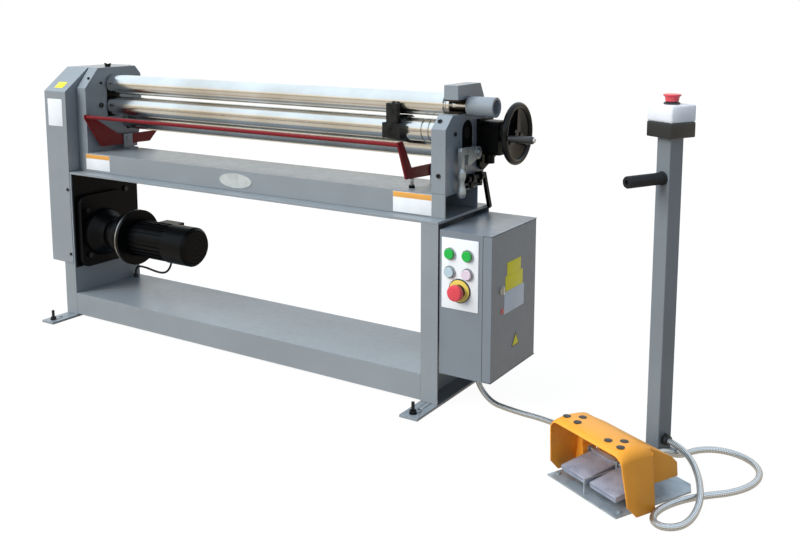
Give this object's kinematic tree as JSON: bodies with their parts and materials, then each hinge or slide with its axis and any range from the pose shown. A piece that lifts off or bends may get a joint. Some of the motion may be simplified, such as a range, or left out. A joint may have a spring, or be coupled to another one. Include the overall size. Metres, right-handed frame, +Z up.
{
  "type": "motorised slip roll",
  "caption": "Motorised slip roll on a steel stand: three rolls between castings, gear motor, control cabinet, guard bar and a foot pedal with stop post.",
  "frame": {"origin": "on the floor under the middle of the machine and its pedal unit, the free cables left out", "axes": "+X along the rolls towards the control cabinet, +Y to the rear, +Z up"},
  "size_m": [2.5359, 0.735, 0.925],
  "materials": {
    "grey_paint": "satin",
    "ground_steel": "polished",
    "machined_steel": "satin",
    "black_metal": "satin",
    "dark_fasteners": "satin",
    "bronze": "satin",
    "dark_red_paint": "gloss",
    "cast_aluminium": "satin",
    "bright_metal": "polished",
    "black_plastic": "matte",
    "bezel_plastic": "gloss",
    "white_plastic": "gloss",
    "green_plastic": "gloss",
    "red_plastic": "gloss",
    "yellow_plastic": "gloss",
    "yellow_plate": "gloss",
    "orange_plastic": "satin",
    "grey_plastic": "matte",
    "braided_steel": "satin",
    "cable_rubber": "matte"
  },
  "bodies": {
    "frame": {"legs": "grey_paint", "base_channel": "grey_paint", "shelf_plate": "grey_paint", "foot_bars": "grey_paint", "bed": "grey_paint", "left_casting": "grey_paint", "right_casting": "grey_paint", "drive_cover": "grey_paint", "cabinet": "grey_paint", "post": "grey_paint", "bar_brackets": "grey_paint", "drive_chain": "machined_steel", "bar_spring": "machined_steel", "pedal_base": "machined_steel", "keeper_plates": "black_metal", "lift_gear_case": "black_metal", "bar_switch": "black_metal", "motor_plate": "black_metal", "reducer": "black_metal", "motor": "black_metal", "fasteners": "dark_fasteners", "bronze_bushes": "bronze", "post_fittings": "black_plastic", "glands": "black_plastic", "button_bezels": "bezel_plastic", "stop_box_lid": "white_plastic", "blank_plates": "white_plastic", "estop_collar": "yellow_plastic", "pedal_guard": "orange_plastic", "electrics": "grey_plastic", "conduit_cabinet": "braided_steel", "conduit_post": "braided_steel", "motor_cable": "cable_rubber"},
    "lower_roll": {"lower_roll": "ground_steel", "lower_gear_set": "machined_steel"},
    "upper_gear": {"upper_gear": "machined_steel"},
    "swing_block": {"swivel_block": "machined_steel"},
    "upper_roll": {"upper_roll": "ground_steel", "lift_sleeve": "grey_paint"},
    "folding_stop": {"folding_stop": "black_metal"},
    "lift_slide": {"lift_blocks": "machined_steel"},
    "rear_roll": {"rear_roll": "ground_steel"},
    "handwheel": {"handwheel": "black_metal"},
    "handwheel_grip": {"handwheel_grip": "black_plastic"},
    "release_lever": {"release_lever": "cast_aluminium"},
    "clamp_lever": {"clamp_lever": "black_metal"},
    "wing_screw": {"wing_screw": "black_metal"},
    "guard_bar": {"guard_bar": "dark_red_paint"},
    "drive_sprocket": {"drive_sprocket": "machined_steel"},
    "cabinet_door": {"cabinet_door": "grey_paint", "door_plates": "yellow_plate"},
    "door_latch": {"door_latch": "bright_metal"},
    "button_green_left": {"button_green_left": "green_plastic"},
    "button_green_right": {"button_green_right": "green_plastic"},
    "button_white_left": {"button_white_left": "white_plastic"},
    "button_white_right": {"button_white_right": "white_plastic"},
    "estop_head": {"estop_head": "red_plastic"},
    "post_stop_head": {"post_stop_head": "red_plastic"},
    "pedal_left": {"pedal_left": "cast_aluminium"},
    "pedal_right": {"pedal_right": "cast_aluminium"}
  },
  "joints": [
    {"name": "lower_roll_spin", "type": "hinge", "parent": "frame", "child": "lower_roll", "pos_m": [-0.25279, 0.12453, 0.771], "axis": [1, 0, 0], "continuous": true},
    {"name": "upper_gear_spin", "type": "hinge", "parent": "frame", "child": "upper_gear", "pos_m": [-1.09479, 0.12453, 0.849], "axis": [1, 0, 0], "continuous": true},
    {"name": "drive_sprocket_spin", "type": "hinge", "parent": "frame", "child": "drive_sprocket", "pos_m": [-1.12079, 0.06753, 0.303], "axis": [1, 0, 0], "continuous": true},
    {"name": "top_roll_swing", "type": "hinge", "parent": "frame", "child": "swing_block", "pos_m": [-1.0633, 0.12453, 0.849], "axis": [0, 0, -1], "range_deg": [0, 5]},
    {"name": "upper_roll_spin", "type": "hinge", "parent": "swing_block", "child": "upper_roll", "pos_m": [-1.0633, 0.12453, 0.849], "axis": [1, 0, 0], "continuous": true},
    {"name": "folding_stop_tilt", "type": "hinge", "parent": "frame", "child": "folding_stop", "pos_m": [0.22121, 0.12453, 0.771], "axis": [1, 0, 0], "range_deg": [0, 90]},
    {"name": "rear_roll_lift", "type": "slide", "parent": "frame", "child": "lift_slide", "axis": [0, 0, 1], "range_m": [-0.01, 0.06]},
    {"name": "rear_roll_spin", "type": "hinge", "parent": "lift_slide", "child": "rear_roll", "pos_m": [-0.25279, 0.20253, 0.712], "axis": [1, 0, 0], "continuous": true},
    {"name": "handwheel_turn", "type": "hinge", "parent": "frame", "child": "handwheel", "pos_m": [0.54721, 0.21253, 0.767], "axis": [1, 0, 0], "range_deg": [-180, 1080]},
    {"name": "handwheel_grip_spin", "type": "hinge", "parent": "handwheel", "child": "handwheel_grip", "pos_m": [0.61721, 0.13453, 0.762], "axis": [1, 0, 0], "continuous": true},
    {"name": "release_lever_turn", "type": "hinge", "parent": "frame", "child": "release_lever", "pos_m": [0.4592, 0.15053, 0.712], "axis": [1, 0, 0], "range_deg": [-40, 10]},
    {"name": "clamp_lever_turn", "type": "hinge", "parent": "frame", "child": "clamp_lever", "pos_m": [0.4612, 0.14753, 0.64], "axis": [0, 1, 0], "range_deg": [-45, 0]},
    {"name": "wing_screw_turn", "type": "hinge", "parent": "frame", "child": "wing_screw", "pos_m": [-1.0633, 0.12453, 0.915], "axis": [0, 0, 1], "continuous": true},
    {"name": "guard_bar_press", "type": "hinge", "parent": "frame", "child": "guard_bar", "pos_m": [-0.3428, 0.16353, 0.645], "axis": [1, 0, 0], "range_deg": [0, 3], "stiffness_Nm_per_rad": 80, "springref_deg": -8.59, "deforming": ["bar_spring"]},
    {"name": "cabinet_door_swing", "type": "hinge", "parent": "frame", "child": "cabinet_door", "pos_m": [0.61321, 0.23413, 0.312], "axis": [0, 0, 1], "range_deg": [0, 110]},
    {"name": "door_latch_turn", "type": "hinge", "parent": "cabinet_door", "child": "door_latch", "pos_m": [0.6122, 0.01353, 0.357], "axis": [1, 0, 0], "range_deg": [-90, 0]},
    {"name": "button_green_left_press", "type": "slide", "parent": "frame", "child": "button_green_left", "axis": [0, 1, 0], "range_m": [0, 0.003], "stiffness_N_per_m": 500, "springref_m": -0.002},
    {"name": "button_green_right_press", "type": "slide", "parent": "frame", "child": "button_green_right", "axis": [0, 1, 0], "range_m": [0, 0.003], "stiffness_N_per_m": 500, "springref_m": -0.002},
    {"name": "button_white_left_press", "type": "slide", "parent": "frame", "child": "button_white_left", "axis": [0, 1, 0], "range_m": [0, 0.003], "stiffness_N_per_m": 500, "springref_m": -0.002},
    {"name": "button_white_right_press", "type": "slide", "parent": "frame", "child": "button_white_right", "axis": [0, 1, 0], "range_m": [0, 0.003], "stiffness_N_per_m": 500, "springref_m": -0.002},
    {"name": "estop_head_press", "type": "slide", "parent": "frame", "child": "estop_head", "axis": [0, 1, 0], "range_m": [0, 0.004], "stiffness_N_per_m": 1200, "springref_m": -0.003},
    {"name": "post_stop_head_press", "type": "slide", "parent": "frame", "child": "post_stop_head", "axis": [0, 0, -1], "range_m": [0, 0.004], "stiffness_N_per_m": 1200, "springref_m": -0.003},
    {"name": "pedal_left_press", "type": "hinge", "parent": "frame", "child": "pedal_left", "pos_m": [0.99832, -0.17701, 0.05], "axis": [0.891, -0.454, 0], "range_deg": [0, 8], "stiffness_Nm_per_rad": 6, "springref_deg": -14.32},
    {"name": "pedal_right_press", "type": "hinge", "parent": "frame", "child": "pedal_right", "pos_m": [1.0892, -0.22332, 0.05], "axis": [0.891, -0.454, 0], "range_deg": [0, 8], "stiffness_Nm_per_rad": 6, "springref_deg": -14.32}
  ],
  "couplings": [
    {"joint": "upper_gear_spin", "follows": "lower_roll_spin", "ratio": -1},
    {"joint": "upper_roll_spin", "follows": "lower_roll_spin", "ratio": -1},
    {"joint": "drive_sprocket_spin", "follows": "lower_roll_spin", "ratio": 1.4615},
    {"joint": "folding_stop_tilt", "follows": "top_roll_swing", "ratio": 18},
    {"joint": "handwheel_turn", "follows": "rear_roll_lift", "rad_per_m": 314.16}
  ]
}
